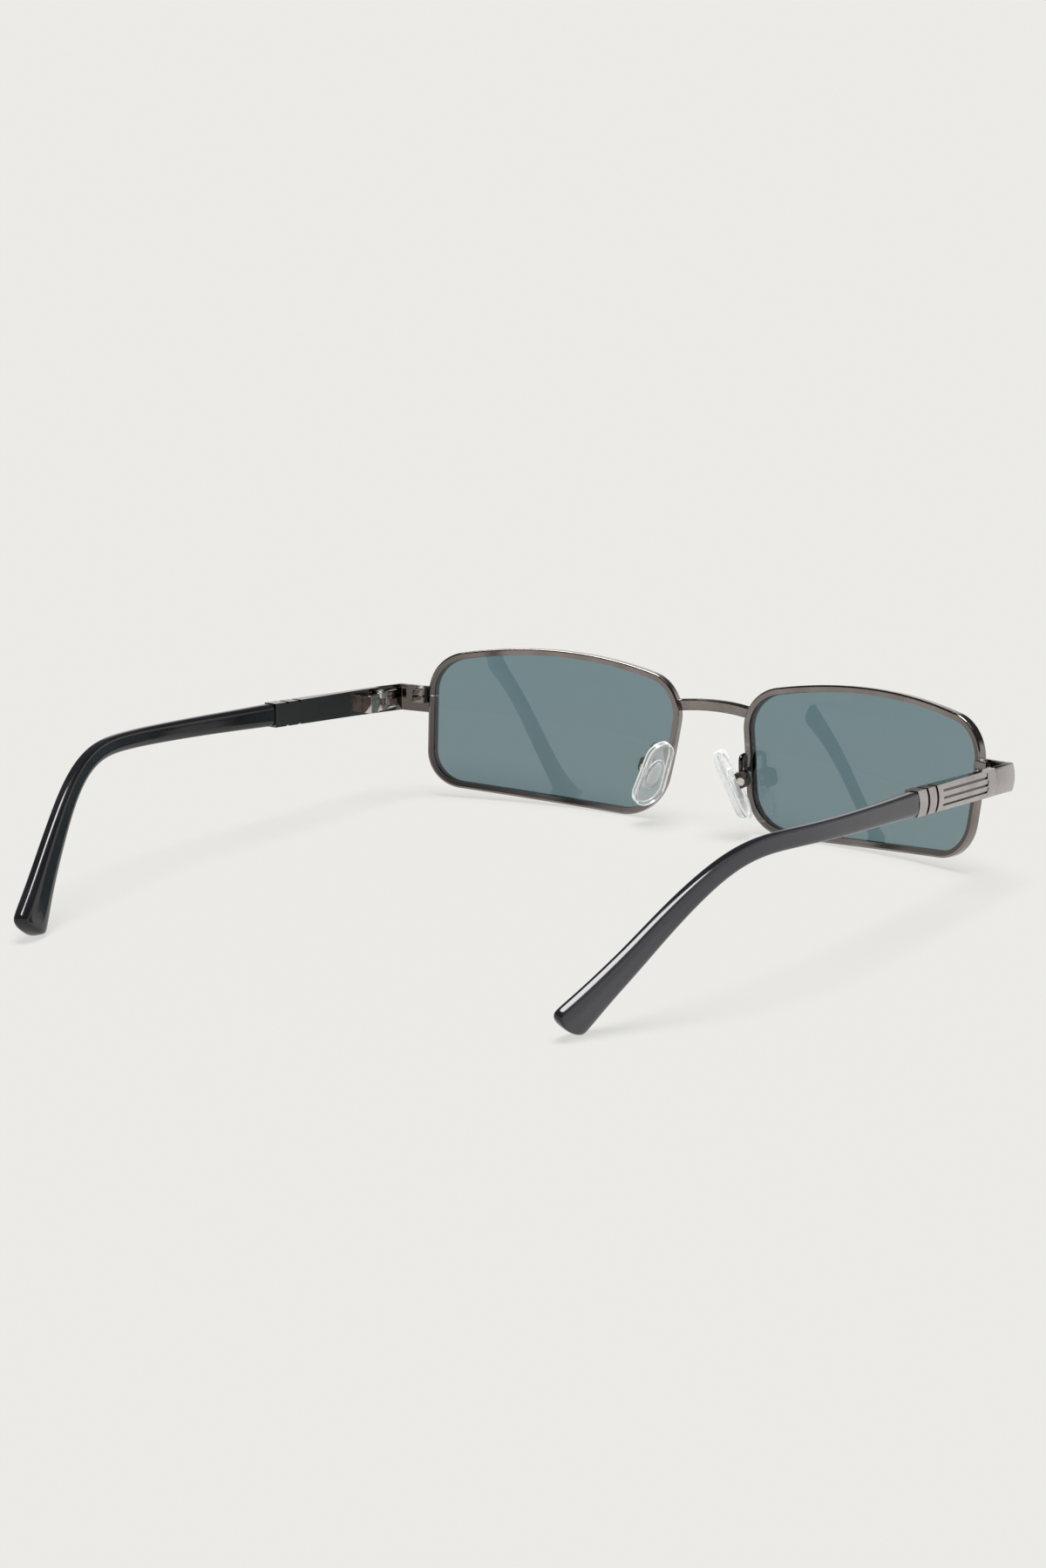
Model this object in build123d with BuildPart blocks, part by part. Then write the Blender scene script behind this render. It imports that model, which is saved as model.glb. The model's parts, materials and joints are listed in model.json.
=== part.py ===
from build123d import *
import math
import os

os.makedirs("parts", exist_ok=True)

# Narrow rectangle sunglasses with a metal frame, unfolded and standing on a table.
# +X is the wearer's left, the lenses face -Y, the temples run back along +Y, and +Z is up.
# Lengths are in millimetres and angles in degrees. "Behind" and "back" count from the lens line.

# The lens openings, seen square on from the front, and the metal round them
lens_width = 53.8
lens_height = 29.0
lens_spacing = 70.4
top_corner_share = 0.735
outer_foot_share = (0.955, -0.89)
inner_foot_share = (-0.865, -1.0)
brow_rise = 3.8
side_bow = 0.35
foot_bow = 0.25
brow_radius = 7.2
outer_foot_radius = 6.5
inner_foot_radius = 8.5
base_curve = 110
wrap_angle = 7.3
lean_angle = 7.0
rim_width = 1.3
rim_depth = 2.3
rim_edge = 0.35
groove_depth = 0.45
lip = 0.45
lens_play = 0.05
lens_setback = -1.4
floor_allowance = 0.111
split_gap = 0.2
arc_shares = (0, 0.5, 1)

# The bridge between the rims
bridge_height = 2.3
bridge_thickness = 1.5
bridge_above_lens = 7.36
bridge_lead = 2.63
bridge_arch = 0.5
bridge_bow = 1.0
bridge_edge = 0.35

# The arm line, shared by the end piece and the temple shield: a bar that rises and splays backwards
front_y = -69.72
corner_reach = 7.5
corner_lead = 0.6
corner_height = 5.4
arm_run = 44.1
arm_splay = 2.3
arm_rise = 3.44
arm_end_height = 4.8
crown = 0.5
strip_thickness = 1.1
sweep_back = 1.4
strip_edge = 0.25

# The hinge: two knuckles on the front, one on the temple, and a screw
seam_run = 8.8
seam_gap = 0.1
hinge_behind_seam = 1.4
hinge_stand = 1.18
hinge_height = 3.6
knuckle_radius = 0.9
knuckle_gap = 0.06
knuckle_share = 1 / 3
front_leaf_length = 5.0
temple_leaf_length = 4.2
hinge_swing = 0.3
pin_radius = 0.42
pin_play = 0.05
press_play = 0.01
screw_head_radius = 0.8
screw_head_height = 0.45
slot_width = 0.25
slot_depth = 0.2

# The lock that closes each rim round its lens
lock_width = 2.6
lock_height = 3.0
lock_proud = 2.0
lock_depth = 0.9
lock_rise = 3.9
lock_axis_depth = 1.2

# The shield's decoration and the ferrule that holds the tip
band_insets = (8.1, 4.1)
band_groove_width = 0.9
band_groove_depth = 0.35
line_start_run = 4.4
line_end_inset = 10.7
line_spacing = 1.35
line_width = 0.45
line_depth = 0.25
line_hook = 0.8
ferrule_thickness = 2.6
ferrule_taper_run = 6.2

# The temple tip and the wire inside it
tip_thickness = 2.9
tip_height = 4.4
bend_to_toe = 36.4
bend_above_arm = 5.9
bend_height = 3.9
bend_radius_top = 40
bend_radius_low = 29
toe_back = 146.8
toe_high = 4.8
toe_foot_inset = 5.5
toe_radius = 3.0
toe_sink_share = 0.3803
tip_edge = 1.2
tip_inset = 0.1
waist_share = 0.566
waist_thickness = 2.7
waist_splay = 0.1
bend_start_to_toe = 46.8
bend_start_inset = 1.4
drop_to_toe = 28.3
drop_inset = 6.1
toe_inset = 18.7
toe_thickness = 4.0
core_width = 1.1
core_height = 1.5
core_end_to_toe = 12.8
core_end_rise = 8.8
core_bend_to_toe = 36.7
core_bend_radius = 34
core_play = 0.04

# The nose pads, the boxes that hold them and the wires that carry the boxes
pivot_x = 10.75
pivot_behind_rim = 5.47
pivot_drop = 4.24
pad_splay = 16
pad_flare = 25.5
pad_tilt = 9
pad_length = 14.8
pad_top_radius = 3.2
pad_foot_radius = 3.75
pad_thickness = 1.7
pad_edge = 0.6
pad_stand = 1.35
pad_drop = 0.25
pad_rim_width = 0.8
pad_rim_depth = 0.35
insert_length = 5.4
insert_width = 3.2
insert_thickness = 0.5
insert_border = 0.7
lug_thickness = 0.8
lug_radius = 0.9
box_wall = 0.55
box_length = 3.15
box_reach = 0.75
box_side_play = 0.1
box_clear = 0.3
box_corner = 0.8
wire_radius = 0.45
wire_bend = 0.9
wire_rim_steps = ((1.05, -0.33, -3.19), (1.05, 1.67, -3.19), (1.05, 1.77, 0.11))
wire_box_steps = ((-0.75, -0.7, 4.35), (-0.35, -0.2, 0.85))

# One overrun serves every cut
overrun = 2.0


def spot(x, back, height):
    """A point given by its distance behind the lens line."""
    return Vector(x, front_y + back, height)


def share_along(start, end, share):
    return start + (end - start) * share


def export_part(part, name):
    part.label = name
    export_step(part, f"parts/{name}.step")


def export_pair(builder, name):
    """The left piece as it was modelled, and its mirror image on the right."""
    with BuildPart() as right:
        mirror(builder.part, about=Plane.YZ)
    export_part(builder.part, f"{name}_left")
    export_part(right.part, f"{name}_right")


# The lens opening, drawn flat about its own centre, with its outer side towards +X
half_width = lens_width / 2
half_height = lens_height / 2
top_height = half_height * top_corner_share
with BuildSketch() as opening:
    with BuildLine():
        outer_top = (half_width, top_height)
        inner_top = (-half_width, top_height)
        outer_foot = (half_width * outer_foot_share[0], half_height * outer_foot_share[1])
        inner_foot = (half_width * inner_foot_share[0], half_height * inner_foot_share[1])
        SagittaArc(outer_top, inner_top, -brow_rise)
        SagittaArc(inner_top, inner_foot, -side_bow)
        SagittaArc(inner_foot, outer_foot, -foot_bow)
        SagittaArc(outer_foot, outer_top, -side_bow)
    make_face()
    corners = opening.vertices().sort_by(Axis.Y)
    fillet(corners[-2:], brow_radius)
    fillet(opening.vertices().sort_by_distance(outer_foot)[0], outer_foot_radius)
    fillet(opening.vertices().sort_by_distance(inner_foot)[0], inner_foot_radius)

wrap = math.radians(wrap_angle)
lean = math.radians(lean_angle)
lens_rise = (half_height + rim_width) * math.cos(lean) + floor_allowance
lens_plane = Plane(
    origin=spot(lens_spacing / 2, lens_setback, lens_rise),
    x_dir=(math.cos(wrap), math.sin(wrap) * math.cos(lean), math.sin(wrap) * math.sin(lean)),
    z_dir=(math.sin(wrap), -math.cos(wrap) * math.cos(lean), -math.cos(wrap) * math.sin(lean)),
)
ball_plane = Plane(
    origin=lens_plane.offset(-base_curve).origin,
    x_dir=-lens_plane.z_dir,
    z_dir=lens_plane.y_dir,
)
opening_reach = rim_depth + half_width
rim_side = lens_spacing / 2 + half_width
rim_half_width = half_width + rim_width
rim_sag = rim_half_width**2 / (base_curve * 2)
rim_inner_back = lens_setback + rim_sag - rim_half_width * math.sin(wrap)
rim_outer_back = lens_setback + rim_sag + rim_half_width * math.sin(wrap)


def grown_opening(growth):
    """The opening with each of its arcs pushed out from the arc's own centre."""
    with BuildSketch() as grown:
        with BuildLine():
            for arc in opening.edges():
                stretch = (arc.radius + growth) / arc.radius
                ThreePointArc([arc.arc_center + (arc @ share - arc.arc_center) * stretch for share in arc_shares])
        make_face()
    return grown.sketch


def opening_prism(growth):
    """The grown opening pushed right through, for cutting."""
    with BuildPart() as prism:
        with BuildSketch(lens_plane):
            add(grown_opening(growth))
        extrude(amount=opening_reach, both=True)
    return prism.part


def curved_plate(growth, rear, front):
    """The grown opening between two balls that follow the lens's curve."""
    with BuildPart() as plate:
        add(opening_prism(growth))
        with Locations(ball_plane):
            Sphere(base_curve + front, mode=Mode.INTERSECT)
            Sphere(base_curve + rear, mode=Mode.SUBTRACT)
    return plate.part


rim_prism = opening_prism(rim_width)
lens_front = rim_depth - lip

with BuildPart() as lens:
    add(curved_plate(groove_depth - lens_play, lip + lens_play, lens_front - lens_play))

rim_blank = curved_plate(rim_width, 0, rim_depth)
with BuildPart() as rim:
    add(rim_blank)
    round_faces = rim.faces().filter_by(GeomType.SPHERE)
    fillet(round_faces.edges(), rim_edge)
    add(opening_prism(0), mode=Mode.SUBTRACT)
    add(curved_plate(groove_depth, lip, lens_front), mode=Mode.SUBTRACT)
    with BuildSketch(lens_plane):
        with Locations((half_width, lock_rise)):
            Rectangle(half_width, split_gap)
    extrude(amount=opening_reach, both=True, mode=Mode.SUBTRACT)

# The bridge is a flat bar swept along a low arch and cut off at the rims' outer walls
bridge_end = lens_spacing / 2 - rim_half_width + bridge_thickness
bridge_rise = lens_rise + bridge_above_lens
bridge_back = rim_inner_back - bridge_lead
with BuildPart() as bridge:
    with BuildLine() as bridge_line:
        ThreePointArc(
            spot(-bridge_end, bridge_back, bridge_rise),
            spot(0, bridge_back - bridge_bow, bridge_rise + bridge_arch),
            spot(bridge_end, bridge_back, bridge_rise),
        )
    end_plane = Plane(origin=bridge_line.line @ 0, x_dir=(0, 0, 1), z_dir=bridge_line.line % 0)
    with BuildSketch(end_plane):
        RectangleRounded(bridge_height, bridge_thickness, bridge_edge)
    sweep(path=bridge_line.line)
    add(rim_prism, mode=Mode.SUBTRACT)
    add(mirror(rim_prism, about=Plane.YZ), mode=Mode.SUBTRACT)

# Places along the arm line, and its two ends
corner_x = rim_side + corner_reach
corner_back = rim_outer_back - corner_lead
corner_middle = lens_rise + lock_rise * math.cos(lean)
arm_end_x = corner_x + arm_splay
arm_length = corner_back + arm_run
arm_end_middle = corner_middle + arm_rise
seam_back = corner_back + seam_run
hinge_back = seam_back + hinge_behind_seam
part_high = arm_end_middle + bend_above_arm + overrun

# The side view: distance behind the lens line across, height up. The top view: +X across, distance behind up.
side_view = Plane(origin=spot(0, 0, 0), x_dir=(0, 1, 0), z_dir=(1, 0, 0))
top_view = Plane(origin=spot(0, 0, 0), x_dir=(1, 0, 0), z_dir=(0, 0, 1))


def arm_share(back):
    return (back - corner_back) / (arm_length - corner_back)


def arm_x(back):
    """The flat edge of the arm's outer face."""
    return share_along(corner_x, arm_end_x, arm_share(back))


def arm_middle(back):
    return share_along(corner_middle, arm_end_middle, arm_share(back))


def arm_half(back):
    """Half the arm's height."""
    return share_along(corner_height, arm_end_height, arm_share(back)) / 2


def arm_envelope(sink=0, shrink=0):
    """The arm's crowned bar, filled inwards; sink lowers its outer face and shrink its two edges."""
    inside = lens_spacing / 2
    with BuildPart() as envelope:
        for back in (-overrun, arm_length):
            with BuildSketch(Plane(origin=spot(0, back, 0), x_dir=(1, 0, 0), z_dir=(0, -1, 0))):
                with BuildLine():
                    edge_x = arm_x(back) - sink
                    low = arm_middle(back) - arm_half(back) + shrink
                    high = arm_middle(back) + arm_half(back) - shrink
                    Polyline((edge_x, low), (inside, low), (inside, high), (edge_x, high))
                    ThreePointArc((edge_x, low), (edge_x + crown, arm_middle(back)), (edge_x, high))
                make_face()
        loft(ruled=True)
    return envelope.part


def arm_slice(start, end, inner, outer):
    """The arm between two distances back and between two depths from its outer edge line."""
    with BuildPart() as piece:
        with BuildSketch(top_view):
            with BuildLine():
                Polyline(
                    (arm_x(start) - inner, start),
                    (arm_x(start) - outer, start),
                    (arm_x(end) - outer, end),
                    (arm_x(end) - inner, end),
                    close=True,
                )
            make_face()
        extrude(amount=part_high)
        add(arm_envelope(), mode=Mode.INTERSECT)
    return piece.part


# The end piece leaves the rim sideways, turns a sharp corner and runs back to the hinge seam
corner_inside = corner_back + strip_thickness
with BuildPart() as end_piece:
    with BuildSketch(top_view):
        with BuildLine():
            Polyline(
                (rim_side, corner_back - sweep_back),
                (corner_x + crown + overrun, corner_back + sweep_back * (crown + overrun) / (corner_x - rim_side)),
                (arm_x(seam_back) + crown + overrun, seam_back),
                (arm_x(seam_back) - strip_thickness, seam_back),
                (arm_x(corner_inside) - strip_thickness, corner_inside),
                (rim_side, corner_inside - sweep_back),
                close=True,
            )
        make_face()
    extrude(amount=part_high)
    add(arm_envelope(), mode=Mode.INTERSECT)
    add(rim_prism, mode=Mode.SUBTRACT)
    fillet(end_piece.edges().sort_by_distance(spot(corner_x + crown, corner_back, arm_middle(corner_back)))[0], strip_edge)

# The lock: two blocks soldered to the rim's ends, one above the other, drawn together by a screw
lock_middle = rim_half_width + lock_width / 2
lock_sag = (rim_half_width**2 + lock_rise**2) / (base_curve * 2)
lock_plane = lens_plane.offset(-lock_sag - lock_proud)


def lock_block(side):
    """The block above (side 1) or below (side -1) the rim's split."""
    block_height = (lock_height - split_gap) / 2
    with BuildPart() as block:
        with BuildSketch(lock_plane):
            with Locations((lock_middle - rim_width / 2, lock_rise + side * (block_height + split_gap) / 2)):
                Rectangle(lock_width + rim_width, block_height)
        extrude(amount=lock_proud + lock_depth)
        add(rim_prism, mode=Mode.SUBTRACT)
        add(end_piece.part, mode=Mode.SUBTRACT)
    return block.part


lock_axis_plane = Plane(
    origin=lock_plane.origin
    + lock_plane.x_dir * lock_middle
    + lock_plane.y_dir * lock_rise
    + lock_plane.z_dir * lock_axis_depth,
    x_dir=lock_plane.x_dir,
    z_dir=lock_plane.y_dir,
)


def slotted_head(plane, height):
    """A cheese head with one slot, standing on a plane."""
    with BuildPart() as head:
        with BuildSketch(plane):
            Circle(screw_head_radius)
        extrude(amount=height)
        with BuildSketch(plane.offset(height)):
            Rectangle(screw_head_radius * 2 + overrun, slot_width)
        extrude(amount=-slot_depth, mode=Mode.SUBTRACT)
    return head.part


def screw(foot_plane, length):
    """A shank that starts on a plane, with its slotted head at the far end."""
    with BuildPart() as body:
        with BuildSketch(foot_plane):
            Circle(pin_radius)
        extrude(amount=length)
        add(slotted_head(foot_plane.offset(length), screw_head_height))
    return body.part


def bored(part, plane, radius):
    """A piece with a hole right through it along a plane's axis."""
    with BuildPart() as result:
        add(part)
        with BuildSketch(plane):
            Circle(radius)
        extrude(amount=hinge_height + lock_height, both=True, mode=Mode.SUBTRACT)
    return result.part


with BuildPart() as rim_lock_upper:
    add(bored(lock_block(1), lock_axis_plane, pin_radius + press_play))

with BuildPart() as rim_lock_lower:
    add(bored(lock_block(-1), lock_axis_plane, pin_radius + press_play))

with BuildPart() as lock_screw:
    add(screw(lock_axis_plane.offset(-lock_height / 2), lock_height))

# The hinge turns about a vertical line just inside the arm
hinge_x = arm_x(hinge_back) - strip_thickness - hinge_stand
hinge_middle = arm_middle(hinge_back)
hinge_foot = hinge_middle - hinge_height / 2
knuckle_height = hinge_height * knuckle_share
hinge_plane = Plane(origin=spot(hinge_x, hinge_back, hinge_foot), x_dir=(1, 0, 0), z_dir=(0, 0, 1))
leaf_overlap = knuckle_radius + hinge_swing


def leaf(start, end, inside):
    """A plate against the arm's inner face between two distances back."""
    with BuildPart() as plate:
        with BuildSketch(top_view.offset(hinge_foot)):
            with BuildLine():
                Polyline(
                    (inside, start),
                    (arm_x(start) - strip_thickness, start),
                    (arm_x(end) - strip_thickness, end),
                    (inside, end),
                    close=True,
                )
            make_face()
        extrude(amount=hinge_height)
    return plate.part


def knuckle(start, height, leaf_side):
    """One barrel with the web that ties it to its leaf, in front (-1) or behind (1)."""
    with BuildPart() as barrel:
        with BuildSketch(hinge_plane.offset(start)):
            Circle(knuckle_radius)
            with Locations((0, leaf_side * leaf_overlap / 2)):
                Rectangle(knuckle_radius * 2, leaf_overlap)
        extrude(amount=height)
    return barrel.part


leaf_inside = hinge_x - knuckle_radius
with BuildPart() as hinge_front_blank:
    add(leaf(hinge_back - front_leaf_length, hinge_back - leaf_overlap, leaf_inside))
    add(knuckle(0, knuckle_height - knuckle_gap, -1))
    add(knuckle(hinge_height - knuckle_height + knuckle_gap, knuckle_height - knuckle_gap, -1))

with BuildPart() as hinge_temple_blank:
    add(leaf(hinge_back + leaf_overlap, hinge_back + temple_leaf_length, leaf_inside))
    add(knuckle(knuckle_height, knuckle_height, 1))

with BuildPart() as hinge_front:
    add(bored(hinge_front_blank.part, hinge_plane, pin_radius + press_play))

with BuildPart() as hinge_temple:
    add(bored(hinge_temple_blank.part, hinge_plane, pin_radius + pin_play))

with BuildPart() as hinge_screw:
    add(screw(hinge_plane, hinge_height))

# The temple shield: the arm behind the seam, thickening towards the tip, with two bands and three long grooves
shield_start = seam_back + seam_gap
line_start = seam_back + line_start_run
line_end = arm_length - line_end_inset
ferrule_taper_start = seam_back + ferrule_taper_run
with BuildPart() as band_cutter:
    for inset in band_insets:
        groove_start = arm_length - inset - band_groove_width / 2
        groove_end = groove_start + band_groove_width
        add(arm_slice(groove_start, groove_end, ferrule_thickness + overrun, -crown - overrun))
    add(arm_envelope(band_groove_depth, band_groove_depth), mode=Mode.SUBTRACT)

with BuildPart() as line_cutter:
    with BuildSketch(side_view):
        for step in (-1, 0, 1):
            with BuildLine():
                low_end = arm_middle(line_start) + step * line_spacing
                high_end = arm_middle(line_end) + step * line_spacing
                Polyline((line_end, high_end), (line_start, low_end), (line_start - line_width, low_end + line_hook))
            trace(line_width=line_width)
    extrude(amount=arm_end_x + crown + overrun)
    add(arm_envelope(line_depth), mode=Mode.SUBTRACT)

with BuildPart() as shield:
    with BuildSketch(top_view):
        with BuildLine():
            Polyline(
                (arm_x(shield_start) - strip_thickness, shield_start),
                (arm_x(shield_start) + crown + overrun, shield_start),
                (arm_x(arm_length) + crown + overrun, arm_length),
                (arm_x(arm_length) - ferrule_thickness, arm_length),
                (arm_x(ferrule_taper_start) - strip_thickness, ferrule_taper_start),
                close=True,
            )
        make_face()
    extrude(amount=part_high)
    add(arm_envelope(), mode=Mode.INTERSECT)
    add(band_cutter.part, mode=Mode.SUBTRACT)
    add(line_cutter.part, mode=Mode.SUBTRACT)

# The tip runs straight back, bends down behind the ear and ends in a rounded paddle on the table
tip_start_x = arm_end_x + crown - tip_thickness / 2 - tip_inset
tip_start_high = arm_end_middle + tip_height / 2
bend_start_back = toe_back - bend_start_to_toe
waist_back = share_along(arm_length, bend_start_back, waist_share)
bow_stations = (
    (tip_start_x, arm_length, tip_thickness),
    (arm_end_x + waist_splay, waist_back, waist_thickness),
    (arm_end_x - bend_start_inset, bend_start_back, waist_thickness),
    (arm_end_x - drop_inset, toe_back - drop_to_toe, tip_thickness),
    (arm_end_x - toe_inset, toe_back, toe_thickness),
)


def bow_band(thickness=None):
    """The tip seen from above, at its own thickness or at one that is given."""
    with BuildPart() as band:
        with BuildSketch(top_view):
            with BuildLine():
                outer = Spline([(x + (thickness or own) / 2, back) for x, back, own in bow_stations])
                inner = Spline([(x - (thickness or own) / 2, back) for x, back, own in bow_stations])
                Line(outer @ 0, inner @ 0)
                Line(outer @ 1, inner @ 1)
            make_face()
        extrude(amount=part_high)
    return band.part


bend_back = toe_back - bend_to_toe
bend_high = arm_end_middle + bend_above_arm
toe_foot = (toe_back - toe_foot_inset, -toe_radius * toe_sink_share)
core_path = (
    (arm_length, arm_end_middle),
    (toe_back - core_bend_to_toe, bend_high - bend_height / 2),
    (toe_back - core_end_to_toe, core_end_rise),
)


def core_bar(play):
    """The flat wire inside the tip, or with some play the bore it lies in."""
    with BuildPart() as bar:
        with BuildSketch(side_view):
            with BuildLine():
                FilletPolyline(*core_path, radius=core_bend_radius)
            trace(line_width=core_height + play * 2)
        extrude(amount=arm_end_x + crown + overrun)
        add(bow_band(core_width + play * 2), mode=Mode.INTERSECT)
    return bar.part


with BuildPart() as core_wire:
    add(core_bar(0))

with BuildPart() as temple_tip:
    with BuildSketch(side_view) as tip_outline:
        with BuildLine():
            Polyline(
                (arm_length, tip_start_high),
                (bend_back, bend_high),
                (toe_back, toe_high),
                toe_foot,
                (bend_back, bend_high - bend_height),
                (arm_length, tip_start_high - tip_height),
                close=True,
            )
        make_face()
        for point, radius in (
            ((bend_back, bend_high), bend_radius_top),
            ((bend_back, bend_high - bend_height), bend_radius_low),
            ((toe_back, toe_high), toe_radius),
            (toe_foot, toe_radius),
        ):
            fillet(tip_outline.vertices().sort_by_distance(point)[0], radius)
    extrude(amount=arm_end_x + crown + overrun)
    add(bow_band(), mode=Mode.INTERSECT)
    start_face = temple_tip.faces().sort_by(Axis.Y)[0]
    fillet([edge for edge in temple_tip.edges() if edge not in start_face.edges()], tip_edge)
    add(core_bar(core_play), mode=Mode.SUBTRACT)

# Each nose pad hangs on a screw that runs front to back through a small box
flare = math.radians(pad_flare)
splay = math.radians(pad_splay)
level_axis = Vector(math.sin(splay) * math.cos(flare), math.cos(splay), math.sin(splay) * math.sin(flare))
pad_normal = Vector(-math.cos(splay) * math.cos(flare), math.sin(splay), -math.cos(splay) * math.sin(flare))
pad_axis = level_axis.rotate(Axis((0, 0, 0), pad_normal), pad_tilt)
pivot = spot(pivot_x, rim_inner_back + pivot_behind_rim, lens_rise - pivot_drop)
pad_plane = Plane(origin=pivot, x_dir=-pad_axis, z_dir=pad_normal)
pivot_plane = Plane(origin=pivot, x_dir=pad_normal, z_dir=pad_axis)
lug_half = lug_thickness / 2
box_half = lug_half + box_side_play + box_wall
box_inside = lug_radius + box_clear
box_back = box_inside + box_wall
box_foot = box_length - box_back
pad_middle = (0, -pad_drop)


def pad_outline(shrink):
    """The pad seen square on: a narrow round top, a broader round foot and straight sides between."""
    with BuildSketch(Plane.XY) as outline:
        with Locations((0, pad_length / 2 - pad_top_radius - pad_drop)):
            Circle(pad_top_radius - shrink)
        with Locations((0, pad_foot_radius - pad_length / 2 - pad_drop)):
            Circle(pad_foot_radius - shrink)
        make_hull()
    return outline.sketch


def box_blank():
    """The box before it is hollowed: round at the side away from the pad."""
    with BuildPart() as blank:
        with BuildSketch(pivot_plane) as box_side:
            with Locations((-box_back, -box_foot)):
                Rectangle(box_back + box_reach, box_length, align=(Align.MIN, Align.MIN))
            fillet(box_side.vertices().sort_by(Axis.X)[:2], box_corner)
        extrude(amount=box_half, both=True)
    return blank.part


with BuildPart() as pad_box:
    add(box_blank())
    with BuildSketch(pivot_plane):
        with Locations((-box_inside, box_inside)):
            Rectangle(box_inside + box_reach + overrun, box_length + overrun, align=(Align.MIN, Align.MAX))
    extrude(amount=lug_half + box_side_play, both=True, mode=Mode.SUBTRACT)
    with BuildSketch(pivot_plane):
        Circle(pin_radius + press_play)
    extrude(amount=box_half + overrun, both=True, mode=Mode.SUBTRACT)

with BuildPart() as pad_screw:
    add(screw(pivot_plane.offset(-box_half), box_half * 2))

with BuildPart() as pad_insert:
    with BuildSketch(pad_plane.offset(pad_stand)):
        with Locations(pad_middle):
            Ellipse(insert_width / 2, insert_length / 2)
    extrude(amount=insert_thickness)
    with BuildSketch(pivot_plane):
        Circle(lug_radius)
        Rectangle(pad_stand, lug_radius * 2, align=(Align.MIN, Align.CENTER))
        Circle(pin_radius + pin_play, mode=Mode.SUBTRACT)
    extrude(amount=lug_half, both=True)

with BuildPart() as nose_pad:
    with BuildSketch(pad_plane.offset(pad_stand)):
        add(pad_outline(0))
    extrude(amount=pad_thickness)
    fillet(nose_pad.faces().sort_by(Axis(pivot, pad_normal))[-1].edges(), pad_edge)
    with BuildSketch(pad_plane.offset(pad_stand)):
        add(pad_outline(pad_rim_width))
        with Locations(pad_middle):
            Ellipse(insert_width / 2 + insert_border, insert_length / 2 + insert_border, mode=Mode.SUBTRACT)
    extrude(amount=pad_rim_depth, mode=Mode.SUBTRACT)
    with BuildSketch(pad_plane.offset(pad_stand)):
        with Locations(pad_middle):
            Ellipse(insert_width / 2, insert_length / 2)
    extrude(amount=insert_thickness, mode=Mode.SUBTRACT)

# The wire that carries the box leaves the rim's rear, rises and comes down on the box
wire_root = spot(rim_side - lens_width, rim_inner_back, lens_rise)
wire_points = [wire_root + Vector(step) for step in wire_rim_steps]
wire_points += [pivot + Vector(step) for step in wire_box_steps]
with BuildPart() as pad_arm:
    with BuildLine() as wire_line:
        FilletPolyline(*wire_points, radius=wire_bend)
    with BuildSketch(Plane(origin=wire_line.line @ 0, z_dir=wire_line.line % 0)):
        Circle(wire_radius)
    sweep(path=wire_line.line)
    add(rim_blank, mode=Mode.SUBTRACT)
    add(box_blank(), mode=Mode.SUBTRACT)

for builder, name in (
    (rim, "rim"),
    (lens, "lens"),
    (end_piece, "end_piece"),
    (rim_lock_upper, "rim_lock_upper"),
    (rim_lock_lower, "rim_lock_lower"),
    (lock_screw, "lock_screw"),
    (hinge_front, "hinge_front"),
    (hinge_temple, "hinge_temple"),
    (hinge_screw, "hinge_screw"),
    (shield, "temple_shield"),
    (core_wire, "core_wire"),
    (temple_tip, "temple_tip"),
    (pad_arm, "pad_arm"),
    (pad_box, "pad_box"),
    (pad_screw, "pad_screw"),
    (pad_insert, "pad_insert"),
    (nose_pad, "nose_pad"),
):
    export_pair(builder, name)
export_part(bridge.part, "bridge")
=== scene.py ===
import json
import math

import bmesh
import bpy
from mathutils import Matrix, Vector


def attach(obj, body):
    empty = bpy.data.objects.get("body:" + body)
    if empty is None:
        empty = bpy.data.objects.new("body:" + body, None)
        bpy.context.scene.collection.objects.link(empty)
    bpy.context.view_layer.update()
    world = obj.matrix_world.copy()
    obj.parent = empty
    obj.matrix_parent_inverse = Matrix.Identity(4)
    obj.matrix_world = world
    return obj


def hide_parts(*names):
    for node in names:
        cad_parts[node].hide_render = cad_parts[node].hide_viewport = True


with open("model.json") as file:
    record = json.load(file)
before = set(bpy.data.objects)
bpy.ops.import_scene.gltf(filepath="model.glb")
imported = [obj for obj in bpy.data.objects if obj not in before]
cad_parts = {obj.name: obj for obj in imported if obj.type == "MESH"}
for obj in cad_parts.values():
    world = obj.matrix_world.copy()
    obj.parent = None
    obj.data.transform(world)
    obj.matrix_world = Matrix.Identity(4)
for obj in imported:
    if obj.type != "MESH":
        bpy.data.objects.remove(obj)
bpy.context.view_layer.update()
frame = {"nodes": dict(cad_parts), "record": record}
nodes = frame["nodes"]
mm = 0.001
sides = {"left": 1, "right": -1}  # the wearer's, with the sign of X on each


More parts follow.
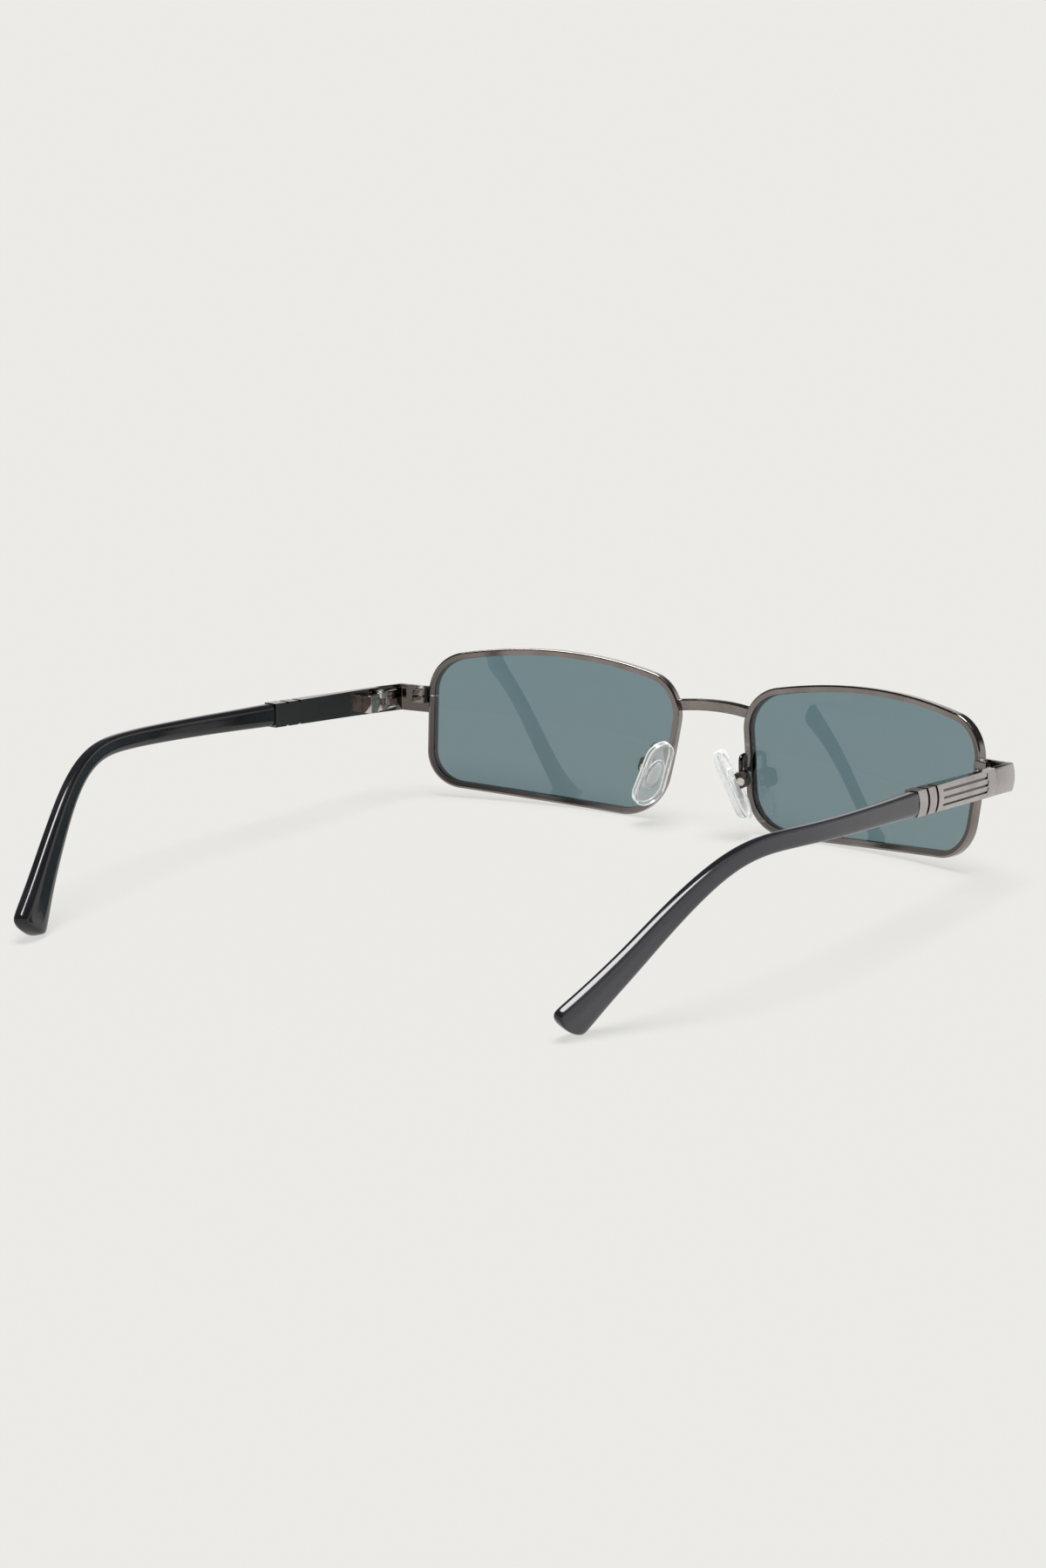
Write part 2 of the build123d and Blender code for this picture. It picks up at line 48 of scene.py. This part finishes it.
# One output of a shader node. It adds, multiplies and so on like a number.
class Signal:
    def __init__(self, recipe, socket):
        self.recipe = recipe
        self.socket = socket

    def math(self, operation, *others):
        sockets = {0: self, **dict(enumerate(others, 1))}
        return self.recipe.node("ShaderNodeMath", {"operation": operation}, sockets)

    def reversedMath(self, operation, other):
        return self.recipe.node("ShaderNodeMath", {"operation": operation}, {0: other, 1: self})

    def __add__(self, other):
        return self.math("ADD", other)

    def __sub__(self, other):
        return self.math("SUBTRACT", other)

    def __mul__(self, other):
        return self.math("MULTIPLY", other)

    def __truediv__(self, other):
        return self.math("DIVIDE", other)

    def __radd__(self, other):
        return self.reversedMath("ADD", other)

    def __rsub__(self, other):
        return self.reversedMath("SUBTRACT", other)

    def __rmul__(self, other):
        return self.reversedMath("MULTIPLY", other)

    def __rtruediv__(self, other):
        return self.reversedMath("DIVIDE", other)

    # 0 below low, 1 above high and smooth between
    def step(self, low, high):
        settings = {"interpolation_type": "SMOOTHSTEP"}
        sockets = {"Value": self, "From Min": low, "From Max": high}
        return self.recipe.node("ShaderNodeMapRange", settings, sockets)

    # the same number spread over another range
    def spread(self, low, high):
        sockets = {"Value": self, "To Min": low, "To Max": high}
        return self.recipe.node("ShaderNodeMapRange", {"clamp": False}, sockets)


# The nodes of a material, or of the world
class Recipe:
    def __init__(self, name, owner=None):
        self.owner = owner or bpy.data.materials.new(name)
        self.owner.use_nodes = True
        self.tree = self.owner.node_tree
        self.shader = self.tree.nodes["Background" if owner else "Principled BSDF"]

    def node(self, kind, settings=None, sockets=None, output=0):
        made = self.tree.nodes.new(kind)
        for name, value in (settings or {}).items():
            setattr(made, name, value)
        for key, value in (sockets or {}).items():
            self.feed(made.inputs[key], value)
        return Signal(self, made.outputs[output])

    def feed(self, socket, value):
        if isinstance(value, Signal):
            self.tree.links.new(value.socket, socket)
        else:
            socket.default_value = value

    # what already feeds one of the shader's sockets
    def feeding(self, name):
        return Signal(self, self.shader.inputs[name].links[0].from_socket)

    def surface(self, **sockets):
        for name, value in sockets.items():
            self.feed(self.shader.inputs[name.replace("_", " ")], value)

    # object coordinates in millimetres, stretched along each axis
    def place(self, stretch=(1, 1, 1)):
        coordinates = self.node("ShaderNodeTexCoord", output="Object")
        sockets = {0: coordinates, 1: [share / mm for share in stretch]}
        return self.node("ShaderNodeVectorMath", {"operation": "MULTIPLY"}, sockets)

    def axis(self, name):
        return self.node("ShaderNodeSeparateXYZ", {}, {0: self.place()}, output=name)

    def facing(self, name):
        normal = self.node("ShaderNodeTexCoord", output="Normal")
        return self.node("ShaderNodeSeparateXYZ", {}, {0: normal}, output=name)

    # how far the surface faces away from the middle of the glasses
    def facingOut(self):
        return self.axis("X").math("SIGN") * self.facing("X")

    # the grain's size is in millimetres
    def noise(self, size, detail, stretch=(1, 1, 1), rough=0.5):
        sockets = {"Vector": self.place(stretch), "Scale": 1 / size}
        sockets.update({"Detail": detail, "Roughness": rough})
        return self.node("ShaderNodeTexNoise", {}, sockets)

    def blend(self, share, first, second):
        sockets = {"Factor": share, 6: first, 7: second}
        return self.node("ShaderNodeMix", {"data_type": "RGBA"}, sockets, output=2)

    # the depth is in millimetres
    def bump(self, height, depth):
        sockets = {"Height": height, "Distance": depth * mm, "Strength": 1.0}
        return self.node("ShaderNodeBump", {}, sockets)


def colour(red, green, blue):
    return (red, green, blue, 1.0)


# The camera stands where it stood for the photo, behind the wearer's right shoulder.
# Angles are in degrees, lengths in metres, and the lens and its sensor in millimetres.
view = {
    "azimuth": 212.4865,
    "elevation": 12.7151,
    "roll": 0.1979,
    "distance": 0.731108,
    "target": (0.004666, -0.00972, 0.019372),
    "lens": 90.03,
    "sensor": 36,
    "nearest": 0.01,
    "furthest": 100,
}


# the direction at an azimuth and a height, in degrees; azimuth 0 is in front of the wearer
def towards(azimuth, elevation):
    azimuth, elevation = math.radians(azimuth), math.radians(elevation)
    flat = math.cos(elevation)
    return Vector((math.sin(azimuth) * flat, -math.cos(azimuth) * flat, math.sin(elevation)))


def makeCamera(view):
    back = towards(view["azimuth"], view["elevation"])
    right = (-back).cross(Vector((0, 0, 1))).normalized()
    up = right.cross(-back)
    roll = math.radians(view["roll"])
    tiltedRight = right * math.cos(roll) + up * math.sin(roll)
    tiltedUp = up * math.cos(roll) - right * math.sin(roll)
    data = bpy.data.cameras.new("camera")
    data.lens = view["lens"]
    data.sensor_width = view["sensor"]
    data.clip_start = view["nearest"]
    data.clip_end = view["furthest"]
    camera = bpy.data.objects.new("camera", data)
    turn = Matrix((tiltedRight, tiltedUp, back)).transposed().to_4x4()
    stand = Vector(view["target"]) + back * view["distance"]
    camera.matrix_world = Matrix.Translation(stand) @ turn
    bpy.context.collection.objects.link(camera)
    bpy.context.scene.camera = camera


makeCamera(view)
print("camera set")

# A pale table in a studio with white walls, a dim ceiling and a large soft lamp overhead.
# Shiny things see a grey screen in its place, with a smaller lamp towards the wearer's left
# that draws their bright lines. Feet and tops are the sine of the angle above the horizon,
# and the small lamp's edge is the cosine of the angle from its middle.
studio = {
    "floorColour": colour(0.11, 0.108, 0.105),
    "floorGlow": colour(0.64, 0.638, 0.614),
    "floorRough": 0.9,
    "floorReach": 12.0,
    "wallColour": colour(0.86, 0.85, 0.82),
    "wallTop": (0.14, 0.3),
    "ceilingColour": colour(0.075, 0.075, 0.08),
    "lampFoot": (0.94, 0.965),
    "lampColour": colour(18.0, 17.9, 17.6),
    "screenFoot": (0.9, 0.95),
    "screenColour": colour(0.9, 0.89, 0.88),
    "lineLamp": (96, 75),  # azimuth and height in degrees
    "lineLampEdge": (0.972, 0.984),
}


def makeStudio(studio):
    scene = bpy.context.scene
    scene.view_settings.view_transform = "Standard"
    scene.world = bpy.data.worlds.new("studio")
    room = Recipe("studio", scene.world)
    direction = room.node("ShaderNodeTexCoord", output="Generated")
    height = room.node("ShaderNodeSeparateXYZ", {}, {0: direction}, output="Z")
    overWalls = height.step(*studio["wallTop"])
    walls = room.blend(overWalls, studio["wallColour"], studio["ceilingColour"])
    lit = room.blend(height.step(*studio["lampFoot"]), walls, studio["lampColour"])
    screen = room.blend(height.step(*studio["screenFoot"]), walls, studio["screenColour"])
    aim = {0: direction, 1: towards(*studio["lineLamp"])}
    near = room.node("ShaderNodeVectorMath", {"operation": "DOT_PRODUCT"}, aim, output="Value")
    mirrored = room.blend(near.step(*studio["lineLampEdge"]), screen, studio["lampColour"])
    glossy = room.node("ShaderNodeLightPath", output="Is Glossy Ray")
    room.surface(Color=room.blend(glossy, lit, mirrored))

    bm = bmesh.new()
    bmesh.ops.create_grid(bm, x_segments=1, y_segments=1, size=studio["floorReach"])
    mesh = bpy.data.meshes.new("floor")
    bm.to_mesh(mesh)
    bm.free()
    floor = bpy.data.objects.new("floor", mesh)
    bpy.context.collection.objects.link(floor)
    recipe = Recipe("table")
    recipe.surface(
        Base_Color=studio["floorColour"],
        Roughness=studio["floorRough"],
        Specular_IOR_Level=0.0,
        Emission_Color=studio["floorGlow"],
        Emission_Strength=1.0,
    )
    floor.data.materials.append(recipe.owner)


makeStudio(studio)
print("studio made")


# Plated metals differ in the size of their cloudy tint and in their polishing marks, which a
# stretch below 1 draws out along that axis. What they share is how soft the clouds are and
# how fine the marks.
plating = {"cloudDetail": 2.0, "cloudEdge": (0.35, 0.65), "markDetail": 4.0, "markRough": 0.6}
frameMetal = {
    "cloudSize": 6.0,
    "markSize": 0.25,
    "markStretch": (1, 1, 1),
    "markDepth": 0.0003,
    "dark": colour(0.215, 0.188, 0.178),
    "light": colour(0.26, 0.23, 0.218),
    "rough": (0.05, 0.11),
}
shieldMetal = {
    "cloudSize": 5.0,
    "markSize": 0.5,
    "markStretch": (3, 0.15, 3),
    "markDepth": 0.0004,
    "dark": colour(0.39, 0.362, 0.358),
    "light": colour(0.46, 0.43, 0.426),
    "rough": (0.22, 0.34),
    "satinFacing": (0.4, 0.65),
    "polished": colour(0.13, 0.11, 0.102),
    "polishedRough": 0.07,
}
hingeMetal = {
    "cloudSize": 1.5,
    "markSize": 0.2,
    "markStretch": (1, 1, 6),
    "markDepth": 0.002,
    "dark": colour(0.4, 0.355, 0.33),
    "light": colour(0.6, 0.55, 0.52),
    "rough": (0.06, 0.16),
}
wireMetal = {
    "cloudSize": 1.2,
    "markSize": 0.2,
    "markStretch": (1, 1, 1),
    "markDepth": 0.001,
    "dark": colour(0.045, 0.039, 0.036),
    "light": colour(0.09, 0.077, 0.07),
    "rough": (0.04, 0.1),
}
screwMetal = {
    "cloudSize": 0.6,
    "markSize": 0.08,
    "markStretch": (1, 1, 1),
    "markDepth": 0.001,
    "dark": colour(0.55, 0.53, 0.5),
    "light": colour(0.72, 0.7, 0.67),
    "rough": (0.14, 0.3),
}


def metal(name, values):
    recipe = Recipe(name)
    clouds = recipe.noise(values["cloudSize"], plating["cloudDetail"])
    cloudy = clouds.step(*plating["cloudEdge"])
    size, stretch = values["markSize"], values["markStretch"]
    marks = recipe.noise(size, plating["markDetail"], stretch, plating["markRough"])
    recipe.surface(
        Base_Color=recipe.blend(cloudy, values["dark"], values["light"]),
        Metallic=1.0,
        Roughness=marks.spread(*values["rough"]),
        Normal=recipe.bump(marks, values["markDepth"]),
    )
    return recipe


materials = {
    "hinge_metal": metal("hingeMetal", hingeMetal).owner,
    "wire_metal": metal("wireMetal", wireMetal).owner,
    "screw_metal": metal("screwMetal", screwMetal).owner,
}

# The rims' inner walls are painted darker, as painted shade in the groove around the lens. The
# middle of each lens, across and up in millimetres, tells which walls look inwards.
rimWallShade = {"middle": (35.2, 15.8), "colour": colour(0.1, 0.09, 0.086), "facing": (0.2, 0.4)}


def frameMaterial(values, wallShade):
    recipe = metal("frameMetal", values)
    across = recipe.axis("X")
    toMiddle = across.math("SIGN") * wallShade["middle"][0] - across
    toHeight = wallShade["middle"][1] - recipe.axis("Z")
    reach = (toMiddle * toMiddle + toHeight * toHeight).math("SQRT")
    inward = (toMiddle * recipe.facing("X") + toHeight * recipe.facing("Z")) / reach
    polished = recipe.feeding("Base Color")
    # painted shade: the walls that look inwards take a darker colour
    recipe.surface(Base_Color=recipe.blend(inward.step(*wallShade["facing"]), polished, wallShade["colour"]))
    return recipe.owner


materials["frame_metal"] = frameMaterial(frameMetal, rimWallShade)

# The shield's inner face is dark polished plating by the hinge, with brush strokes in it,
# and black enamel from there to the ferrule. The places are millimetres along Y.
enamel = {
    "facing": (0.6, 0.8),
    "start": (-46.4, -46.2),
    "end": (-20.8, -20.7),
    "colour": colour(0.012, 0.012, 0.013),
    "rough": 0.45,
    "platingStart": (-50.3, -50.2),
    "platingColour": colour(0.13, 0.108, 0.1),
    "strokes": {"size": 0.5, "detail": 2.0, "stretch": (0.1, 3, 0.1)},
    "strokeShare": (0.6, 1.1),
}

# The shield's outer face, by whose depth below its crown the grooves are found and darkened with
# painted shade.
# The pairs are millimetres at its two ends, and a share runs from the corner to the tip.
groove = {
    "facing": (0.7, 0.85),
    "startY": -64.522,
    "run": 44.1,
    "edgeX": (69.6, 71.9),
    "middleZ": (19.664, 23.104),
    "halfHeight": (2.7, 2.4),
    "crown": 0.5,
    "shadeFrom": (0.07, 0.16),
    "shadeTo": (0.42, 0.5),
    "grooveShadeColour": colour(0.06, 0.052, 0.05),
    "grooveShadeShare": 0.85,
}


def grooveShadeMask(recipe, outward, groove):
    share = (recipe.axis("Y") - groove["startY"]) / groove["run"]
    names = ("edgeX", "middleZ", "halfHeight")
    edge, middle, half = (share.spread(*groove[name]) for name in names)
    rise = (recipe.axis("Z") - middle) / half
    depth = edge + (1 - rise * rise) * groove["crown"] - recipe.axis("X").math("ABSOLUTE")
    # painted shade on the groove floors
    paintedGrooveShade = depth.step(*groove["shadeFrom"]) * (1 - depth.step(*groove["shadeTo"]))
    return outward.step(*groove["facing"]) * paintedGrooveShade * groove["grooveShadeShare"]


def shieldMaterial(values, enamel, groove):
    recipe = metal("shieldMetal", values)
    outward = recipe.facingOut()
    inward = (outward * -1).step(*enamel["facing"])
    paintedGrooveShade = grooveShadeMask(recipe, outward, groove)
    satin = outward.math("MAXIMUM", recipe.facing("Y") * -1).step(*values["satinFacing"])
    along = recipe.axis("Y")
    painted = inward * along.step(*enamel["start"]) * (1 - along.step(*enamel["end"]))
    plated = inward * along.step(*enamel["platingStart"]) * (1 - painted)
    brushed = plated * recipe.noise(**enamel["strokes"]).spread(*enamel["strokeShare"])
    tint = recipe.blend(satin, values["polished"], recipe.feeding("Base Color"))
    tint = recipe.blend(brushed, tint, enamel["platingColour"])
    # the grooves darkened with painted shade
    tint = recipe.blend(paintedGrooveShade, tint, groove["grooveShadeColour"])
    rough = recipe.feeding("Roughness") * satin + (1 - satin) * values["polishedRough"]
    recipe.surface(
        Base_Color=recipe.blend(painted, tint, enamel["colour"]),
        Metallic=1 - painted,
        Roughness=rough * (1 - painted) + painted * enamel["rough"],
    )
    return recipe.owner


materials["shield_metal"] = shieldMaterial(shieldMetal, enamel, groove)

# Black tips with hairline marks from being put down, and a little dust in their polish.
# Their outer faces are painted lighter and bluer, as painted light falling on that side, and are
# rougher.
tipLook = {
    "colour": colour(0.008, 0.008, 0.01),
    "worn": colour(0.016, 0.016, 0.02),
    "rough": (0.05, 0.12),
    "clouds": {"size": 9.0, "detail": 2.0},
    "cloudEdge": (0.3, 0.7),
    "hairlines": {"size": 0.3, "detail": 5.0, "stretch": (5, 0.1, 3), "rough": 0.65},
    "hairDepth": 0.0005,
    "dust": {"size": 0.35, "detail": 0.0},
    "dustEdge": (0.72, 0.78),
    "wear": (0.6, 0.4),  # what clouds and dust add to the worn tint
    "finish": (0.4, 0.6),  # what clouds and hairlines add to the roughness
    "litSideFacing": (0.3, 0.85),
    "litSideShare": (0.8, 1.1),
    "paintedLitSide": colour(0.055, 0.053, 0.066),
    "outerFaceRough": 0.12,
    "ior": 1.45,
}


def tipMaterial(values):
    recipe = Recipe("tipPlastic")
    clouds = recipe.noise(**values["clouds"])
    hairlines = recipe.noise(**values["hairlines"])
    dust = recipe.noise(**values["dust"]).step(*values["dustEdge"])
    outward = recipe.facingOut().step(*values["litSideFacing"])
    wear = clouds.step(*values["cloudEdge"]) * values["wear"][0] + dust * values["wear"][1]
    finish = clouds * values["finish"][0] + hairlines * values["finish"][1] + dust
    polished = recipe.blend(wear, values["colour"], values["worn"])
    # painted light: the outer faces take a lighter, bluer colour
    paintedLitSide = outward * clouds.spread(*values["litSideShare"])
    recipe.surface(
        Base_Color=recipe.blend(paintedLitSide, polished, values["paintedLitSide"]),
        Roughness=finish.spread(*values["rough"]) + outward * values["outerFaceRough"],
        Normal=recipe.bump(hairlines, values["hairDepth"]),
        IOR=values["ior"],
    )
    return recipe.owner


materials["tip_plastic"] = tipMaterial(tipLook)

# Tinted lens, a touch bluer at the top, with faint wipe marks in its polish.
# The heights, in millimetres, are those between which the tint changes.
lensLook = {
    "top": colour(0.155, 0.244, 0.274),
    "foot": colour(0.162, 0.243, 0.27),
    "heights": (2.0, 30.0),
    "wipe": {"size": 7.0, "detail": 4.0, "stretch": (1, 1, 2.5), "rough": 0.6},
    "wipeEdge": (0.45, 0.8),
    "rough": (0.0, 0.035),
    "ior": 1.67,
}


def lensMaterial(values):
    recipe = Recipe("lensTint")
    height = recipe.axis("Z").step(*values["heights"])
    wipe = recipe.noise(**values["wipe"]).step(*values["wipeEdge"])
    recipe.surface(
        Base_Color=recipe.blend(height, values["foot"], values["top"]),
        Roughness=wipe.spread(*values["rough"]),
        IOR=values["ior"],
        Transmission_Weight=1.0,
    )
    return recipe.owner


materials["lens_tint"] = lensMaterial(lensLook)

# Clear silicone pads and the harder plastic inside them: cloudy, with a slightly uneven
# moulded skin, a faint white haze all over, and a white painted highlight where they curve away
# from view
padLook = {
    "clear": colour(0.97, 0.98, 0.985),
    "cloudy": colour(0.9, 0.93, 0.94),
    "clouds": {"size": 1.6, "detail": 3.0},
    "cloudEdge": (0.35, 0.7),
    "skin": {"size": 0.5, "detail": 2.0},
    "skinDepth": 0.0015,
    "rough": (0.01, 0.05),
    "ior": 1.41,
    "transmission": 0.95,
    "hazeHighlightColour": colour(0.6, 0.603, 0.606),
    "hazeHighlightRough": 0.2,
    "haze": 0.1,
    "edge": (0.4, 0.75),
    "edgeBlend": 0.5,
}
insertLook = {
    **padLook,
    "cloudy": colour(0.84, 0.87, 0.88),
    "rough": (0.01, 0.04),
    "ior": 1.49,
    "transmission": 0.88,
    "haze": 0.16,
    "edge": (0.3, 0.75),
}


def padMaterial(name, values):
    recipe = Recipe(name)
    clouds = recipe.noise(**values["clouds"]).step(*values["cloudEdge"])
    skin = recipe.noise(**values["skin"])
    recipe.surface(
        Base_Color=recipe.blend(clouds, values["clear"], values["cloudy"]),
        Roughness=skin.spread(*values["rough"]),
        Normal=recipe.bump(skin, values["skinDepth"]),
        IOR=values["ior"],
        Transmission_Weight=values["transmission"],
    )
    clear = Signal(recipe, recipe.shader.outputs[0])
    sockets = {"Base Color": values["hazeHighlightColour"], "Roughness": values["hazeHighlightRough"]}
    hazeHighlightSkin = recipe.node("ShaderNodeBsdfPrincipled", {}, sockets)
    hazeHighlightDepth = recipe.node("ShaderNodeBsdfTranslucent", {}, {"Color": values["hazeHighlightColour"]})
    hazeAndEdgeHighlight = recipe.node("ShaderNodeAddShader", {}, {0: hazeHighlightSkin, 1: hazeHighlightDepth})
    blend = {"Blend": values["edgeBlend"]}
    # painted highlight: white edges where the surface curves away from view, over an even haze
    edgeHighlightFacing = recipe.node("ShaderNodeLayerWeight", {}, blend, output="Facing")
    share = edgeHighlightFacing.step(*values["edge"]) * (1 - values["haze"]) + values["haze"]
    whole = recipe.node("ShaderNodeMixShader", {}, {0: share, 1: clear, 2: hazeAndEdgeHighlight})
    recipe.feed(recipe.tree.nodes["Material Output"].inputs["Surface"], whole)
    return recipe.owner


materials["pad_silicone"] = padMaterial("padSilicone", padLook)
materials["insert_plastic"] = padMaterial("insertPlastic", insertLook)
print("materials made")


def dress(owner, material):
    if not owner.data.materials:
        owner.data.materials.append(material)
    for slot in owner.material_slots:
        slot.material = material


slotOf = {part["node"]: part["material_slot"] for part in frame["record"]["subparts"]}
bodyOf = {}
for body, names in frame["record"]["behaviour"]["bodies"].items():
    bodyOf.update(dict.fromkeys(names, body))
for name, owner in nodes.items():
    dress(owner, materials[slotOf[name]])
print("frame dressed")

# Small machined pieces have rounded edges that catch the light. Angles are in degrees,
# and lengths in millimetres.
softEdge = {
    "weld": 0.002,
    "flat": 0.5,
    "sharp": 28,
    "crease": 35,
    "segments": 2,
    "widths": {
        "end_piece": 0.1,
        "rim_lock_upper": 0.09,
        "rim_lock_lower": 0.09,
        "hinge_front": 0.07,
        "hinge_temple": 0.07,
        "pad_box": 0.08,
    },
}


# A new piece takes a node's place, finish and body
def standIn(name, mesh, node):
    piece = bpy.data.objects.new(name, mesh)
    bpy.context.collection.objects.link(piece)
    mesh.materials.append(materials[slotOf[node]])
    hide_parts(node)
    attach(piece, bodyOf[node])
    return piece


def softenNode(name, width, values):
    flat, sharp, crease = (math.radians(values[key]) for key in ("flat", "sharp", "crease"))
    bm = bmesh.new()
    bm.from_mesh(nodes[name].data)
    bmesh.ops.remove_doubles(bm, verts=bm.verts, dist=values["weld"] * mm)
    bmesh.ops.dissolve_limit(bm, angle_limit=flat, verts=bm.verts, edges=bm.edges)
    edges = [edge for edge in bm.edges if edge.is_manifold and edge.calc_face_angle() > sharp]
    bmesh.ops.bevel(
        bm,
        geom=edges,
        offset=width * mm,
        affect="EDGES",
        segments=values["segments"],
        profile=0.5,
        material=-1,
        clamp_overlap=True,
    )
    bmesh.ops.recalc_face_normals(bm, faces=bm.faces)
    for face in bm.faces:
        face.smooth = True
    mesh = bpy.data.meshes.new(f"{name}_soft")
    bm.to_mesh(mesh)
    bm.free()
    mesh.set_sharp_from_angle(angle=crease)
    standIn(f"{name}_soft", mesh, name)


for kind, width in softEdge["widths"].items():
    for side in sides:
        softenNode(f"{kind}_{side}", width, softEdge)
print("edges softened")

# The tips, whose ends are flared, cut at a slant and turned a little on their own axis to lie
# along the head. Each station has its middle, its height and thickness in millimetres, and
# its turn in degrees. The first two stand square in the ferrule.
tipShape = {
    "stations": (
        (70.86, -20.41, 23.11, 4.45, 2.95, 0),
        (70.87, -20.25, 23.12, 4.45, 2.95, 0),
        (71.41, -10, 23.78, 4.05, 2.65, 0),
        (71.87, 0, 24.45, 3.8, 2.45, 0),
        (72.0, 8, 24.94, 3.65, 2.35, 0),
        (71.85, 17, 25.53, 3.5, 2.3, 0),
        (71.2, 25, 26.0, 3.4, 2.25, 1),
        (70.3, 31.5, 26.2, 3.35, 2.25, 3),
        (69.1, 37.3, 25.6, 3.45, 2.3, 5),
        (67.6, 43.1, 23.75, 3.7, 2.35, 8),
        (65.7, 48.9, 20.5, 4.15, 2.45, 11),
        (63.5, 54.6, 16.3, 4.7, 2.55, 14),
        (61.4, 60.0, 11.85, 5.35, 2.65, 17),
        (59.3, 64.9, 7.95, 6.1, 2.8, 19),
        (57.6, 68.8, 4.85, 7.0, 3.0, 20),
        (56.3, 71.8, 2.55, 7.8, 3.1, 20),
        (55.6, 73.3, 1.4, 8.0, 2.9, 20),
    ),
    "square": 2,
    "across": 2,  # how many parts the cage has across and up
    "up": 5,
    "rounding": 0.74,  # the share of the thickness left at the upper and lower edges
    "slant": (3.15, 1.7, 0.9, 0.35, 0.05, 0.35),  # how far the end is cut back, lower edge first
    "slantFrom": 3,  # the stations over which the cut fades in
    "smooth": 3,
}


# A cube from -1 to 1 in every direction, divided into so many parts along each axis
def cage(across, along, up):
    bm = bmesh.new()
    bmesh.ops.create_cube(bm, size=2)
    for axis, parts in ((1, along), (2, up), (0, across)):
        edges = []
        for edge in bm.edges:
            start, end = edge.verts
            if abs(start.co[axis] - end.co[axis]) > 1:  # not yet divided
                edges.append(edge)
        bmesh.ops.subdivide_edges(bm, edges=edges, cuts=parts - 1, use_grid_fill=True)
    return bm


# Where a point of the cage comes to lie in the left tip
def tipPoint(point, values):
    stations = values["stations"]
    middles = [Vector(station[:3]) * mm for station in stations]
    last = len(stations) - 1
    row = round((point.y + 1) / 2 * last)
    level = round((point.z + 1) / 2 * values["up"])
    height, thickness, turn = stations[row][3:]
    axis = Vector((0, 1, 0))
    if row >= values["square"]:
        axis = (middles[min(row + 1, last)] - middles[max(row - 1, 0)]).normalized()
    outward = axis.cross(Vector((0, 0, 1))).normalized()
    upward = outward.cross(axis)
    if level in (0, values["up"]):
        thickness *= values["rounding"]
    offset = outward * point.x * thickness / 2 * mm + upward * point.z * height / 2 * mm
    twist = Matrix.Rotation(math.radians(turn), 3, axis)
    cut = values["slant"][level] * max(0, 1 - (last - row) / values["slantFrom"]) * mm
    return middles[row] + twist @ offset - axis * cut


def buildTip(side, values):
    bm = cage(values["across"], len(values["stations"]) - 1, values["up"])
    for vertex in bm.verts:
        vertex.co = tipPoint(vertex.co, values)
        vertex.co.x *= sides[side]
    bmesh.ops.recalc_face_normals(bm, faces=bm.faces)
    for face in bm.faces:
        face.smooth = True
    name = f"temple_tip_{side}"
    mesh = bpy.data.meshes.new(f"{name}_shaped")
    bm.to_mesh(mesh)
    bm.free()
    piece = standIn(f"{name}_shaped", mesh, name)
    surface = piece.modifiers.new("smooth", "SUBSURF")
    surface.levels = surface.render_levels = values["smooth"]
    # made real, so that its bounds are those of the round shape and not of its cage
    rounded = piece.evaluated_get(bpy.context.evaluated_depsgraph_get())
    piece.data = bpy.data.meshes.new_from_object(rounded)
    piece.modifiers.clear()


for side in sides:
    buildTip(side, tipShape)
print("tips shaped")
